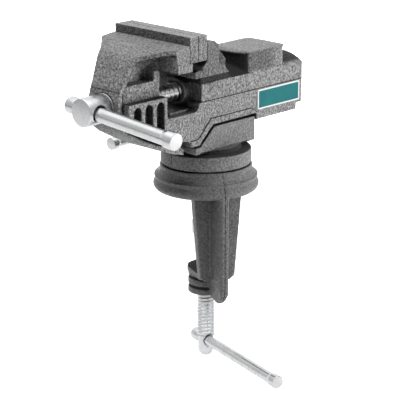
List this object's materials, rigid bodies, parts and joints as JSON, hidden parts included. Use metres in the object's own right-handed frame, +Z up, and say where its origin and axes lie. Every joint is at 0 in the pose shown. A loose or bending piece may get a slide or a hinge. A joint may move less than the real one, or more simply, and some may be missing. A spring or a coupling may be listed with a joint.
{
  "type": "swivel bench vise",
  "caption": "Small clamp-on bench vise: cast jaws and anvil, lead screw with a sliding bar, and a turret that swivels on a C-shaped bench clamp with its own screw.",
  "frame": {"origin": "centre of the base flange's underside, on the swivel axis, where the bench top comes", "axes": "+Z up along the swivel axis, +Y from the screw head towards the anvil, +X towards the side with the label"},
  "size_m": [0.1347, 0.1654, 0.2069],
  "materials": {
    "cast_paint": "dark grey textured paint over rough castings",
    "jaw_steel": "dull dark steel",
    "plated_steel": "bright plated",
    "brass": "machined",
    "label": "plain printed foil with a pale border, no wording"
  },
  "bodies": {
    "bracket": {"clamp_bracket": "cast_paint"},
    "vise": {"turret": "cast_paint", "vise_body": "cast_paint", "body_screw_1": "plated_steel", "body_screw_2": "plated_steel", "body_screw_3": "plated_steel", "body_screw_4": "plated_steel", "fixed_jaw_plate": "jaw_steel", "fixed_jaw_screw_near": "plated_steel", "fixed_jaw_screw_far": "plated_steel", "lead_nut": "brass", "nut_set_screw": "plated_steel", "side_label": "label"},
    "jaw": {"moving_jaw": "cast_paint", "moving_jaw_plate": "jaw_steel", "moving_jaw_screw_near": "plated_steel", "moving_jaw_screw_far": "plated_steel", "thrust_washer": "plated_steel"},
    "screw": {"lead_screw": "plated_steel", "retaining_collar": "plated_steel", "collar_pin": "plated_steel"},
    "main_bar": {"main_bar": "plated_steel", "main_bar_inner_knob": "plated_steel", "main_bar_outer_knob": "plated_steel"},
    "clamp_pad": {"clamp_pad": "plated_steel"},
    "clamp_screw": {"clamp_screw": "plated_steel"},
    "clamp_bar": {"clamp_bar": "plated_steel", "clamp_bar_inner_knob": "plated_steel", "clamp_bar_outer_knob": "plated_steel"},
    "lock_plug": {"lock_plug": "brass"},
    "lock_screw": {"lock_screw": "plated_steel"},
    "lock_bar": {"lock_bar": "plated_steel", "lock_bar_front_knob": "plated_steel", "lock_bar_rear_knob": "plated_steel"}
  },
  "joints": [
    {"name": "swivel", "type": "hinge", "parent": "bracket", "child": "vise", "pos_m": [0, 0, 0.0162], "axis": [0, 0, 1], "continuous": true},
    {"name": "jaw_slide", "type": "slide", "parent": "vise", "child": "jaw", "axis": [0, -1, 0], "range_m": [0, 0.05]},
    {"name": "lead_turn", "type": "hinge", "parent": "jaw", "child": "screw", "pos_m": [0, -0.0905, 0.0631], "axis": [0, -1, 0], "range_deg": [-10, 5200]},
    {"name": "main_bar_slide", "type": "slide", "parent": "screw", "child": "main_bar", "axis": [0.9971, 0, -0.0767], "range_m": [-0.048, 0]},
    {"name": "clamp_travel", "type": "slide", "parent": "bracket", "child": "clamp_pad", "axis": [0, 0, 1], "range_m": [-0.02, 0.0192]},
    {"name": "clamp_turn", "type": "hinge", "parent": "clamp_pad", "child": "clamp_screw", "pos_m": [0, 0, -0.0956], "axis": [0, 0, 1], "range_deg": [-3290, 3160]},
    {"name": "clamp_bar_slide", "type": "slide", "parent": "clamp_screw", "child": "clamp_bar", "axis": [0.9655, -0.2605, 0], "range_m": [-0.067, 0]},
    {"name": "lock_travel", "type": "slide", "parent": "vise", "child": "lock_plug", "axis": [-1, 0, 0], "range_m": [0, 0.0025]},
    {"name": "lock_turn", "type": "hinge", "parent": "lock_plug", "child": "lock_screw", "pos_m": [-0.052, 0, 0.0223], "axis": [-1, 0, 0], "range_deg": [-10, 730]},
    {"name": "lock_bar_slide", "type": "slide", "parent": "lock_screw", "child": "lock_bar", "axis": [0, 1, 0], "range_m": [-0.002, 0.017]}
  ],
  "couplings": [
    {"joint": "lead_turn", "follows": "jaw_slide", "rad_per_m": 1795.2},
    {"joint": "clamp_turn", "follows": "clamp_travel", "rad_per_m": 2856},
    {"joint": "lock_turn", "follows": "lock_travel", "rad_per_m": 5026.5}
  ]
}
